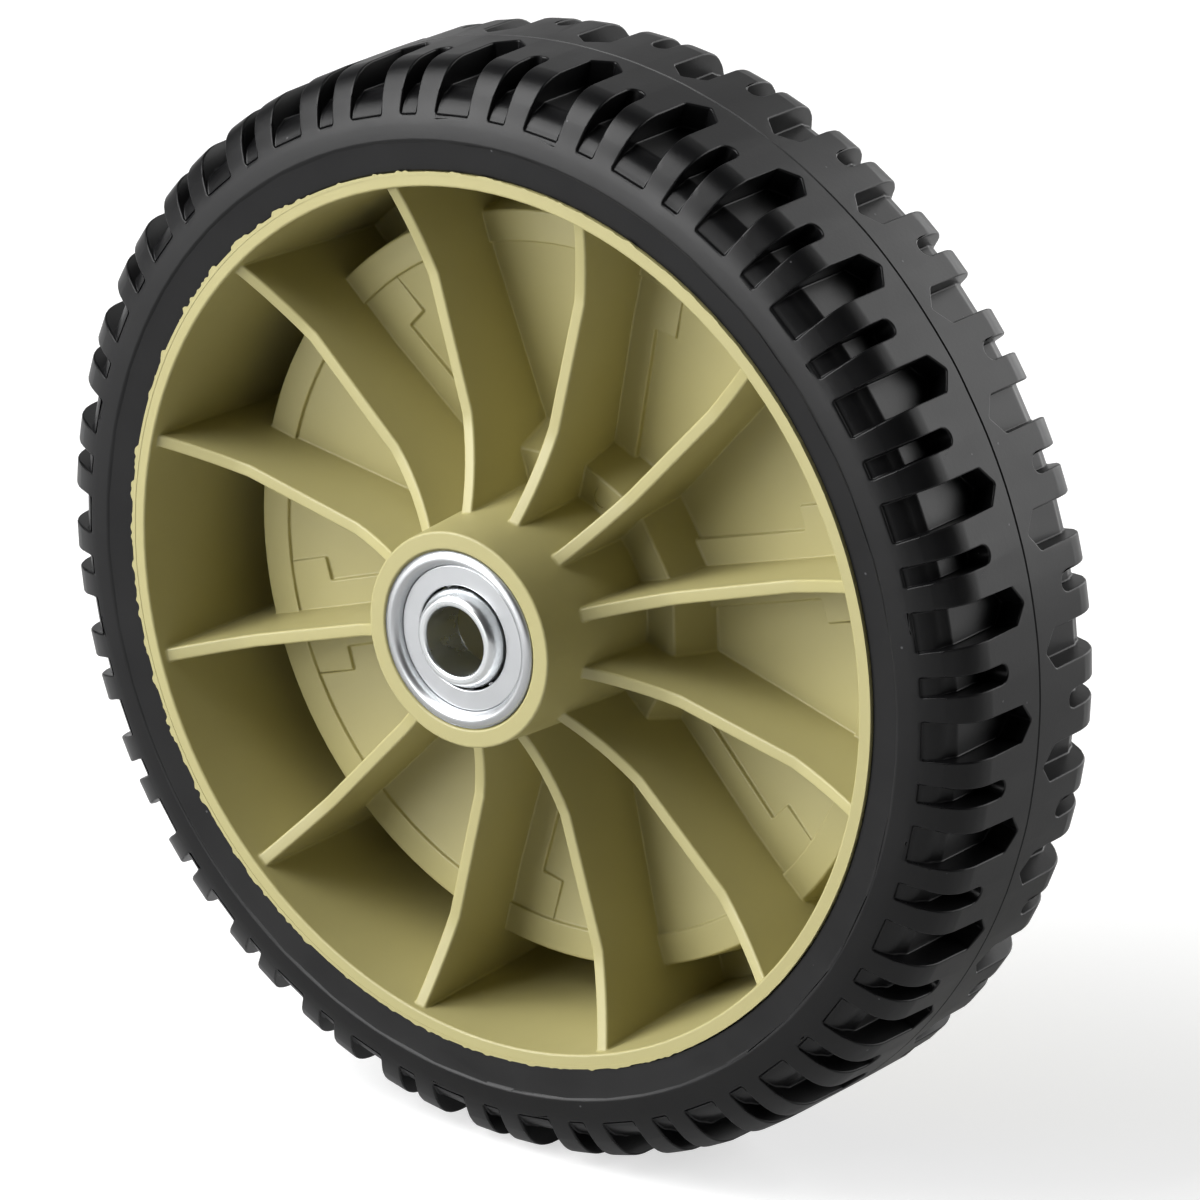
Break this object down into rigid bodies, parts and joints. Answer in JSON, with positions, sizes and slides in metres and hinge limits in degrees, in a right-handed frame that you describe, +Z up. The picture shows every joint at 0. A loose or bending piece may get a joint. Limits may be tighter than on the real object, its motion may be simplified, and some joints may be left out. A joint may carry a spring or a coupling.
{
  "type": "lawn mower wheel",
  "caption": "Lawn mower wheel with a ribbed moulded plastic body, a solid lugged rubber tyre and a flanged ball bearing at each end of the hub, for a plain axle.",
  "frame": {"origin": "centre of the axle bore, at the middle plane of the tyre", "axes": "+Y along the axle towards the mower (inboard), -Y towards the ribbed outboard face, +Z up"},
  "size_m": [0.2032, 0.0581, 0.2032],
  "materials": {
    "olive_polypropylene": "satin moulded",
    "black_rubber": "satin moulded",
    "zinc_plated_steel": "zinc plated",
    "bright_turned_steel": "bright turned",
    "hardened_steel": "ground"
  },
  "bodies": {
    "axle_rings": {"outboard_inner_ring": "bright_turned_steel", "inboard_inner_ring": "bright_turned_steel"},
    "wheel": {"moulded_wheel": "olive_polypropylene", "tyre": "black_rubber", "outboard_bearing_shell": "zinc_plated_steel", "outboard_bearing_shield": "zinc_plated_steel", "outboard_race_front_half": "hardened_steel", "outboard_race_back_half": "hardened_steel", "inboard_bearing_shell": "zinc_plated_steel", "inboard_bearing_shield": "zinc_plated_steel", "inboard_race_front_half": "hardened_steel", "inboard_race_back_half": "hardened_steel"},
    "outboard_balls": {"outboard_ball_set": "hardened_steel"},
    "inboard_balls": {"inboard_ball_set": "hardened_steel"}
  },
  "joints": [
    {"name": "wheel_spin", "type": "hinge", "parent": "axle_rings", "child": "wheel", "pos_m": [0, 0, 0], "axis": [0, 1, 0], "continuous": true},
    {"name": "outboard_balls_orbit", "type": "hinge", "parent": "axle_rings", "child": "outboard_balls", "pos_m": [0, 0, 0], "axis": [0, 1, 0], "continuous": true},
    {"name": "inboard_balls_orbit", "type": "hinge", "parent": "axle_rings", "child": "inboard_balls", "pos_m": [0, 0, 0], "axis": [0, 1, 0], "continuous": true}
  ],
  "couplings": [
    {"joint": "outboard_balls_orbit", "follows": "wheel_spin", "ratio": 0.6188},
    {"joint": "inboard_balls_orbit", "follows": "wheel_spin", "ratio": 0.6188}
  ]
}
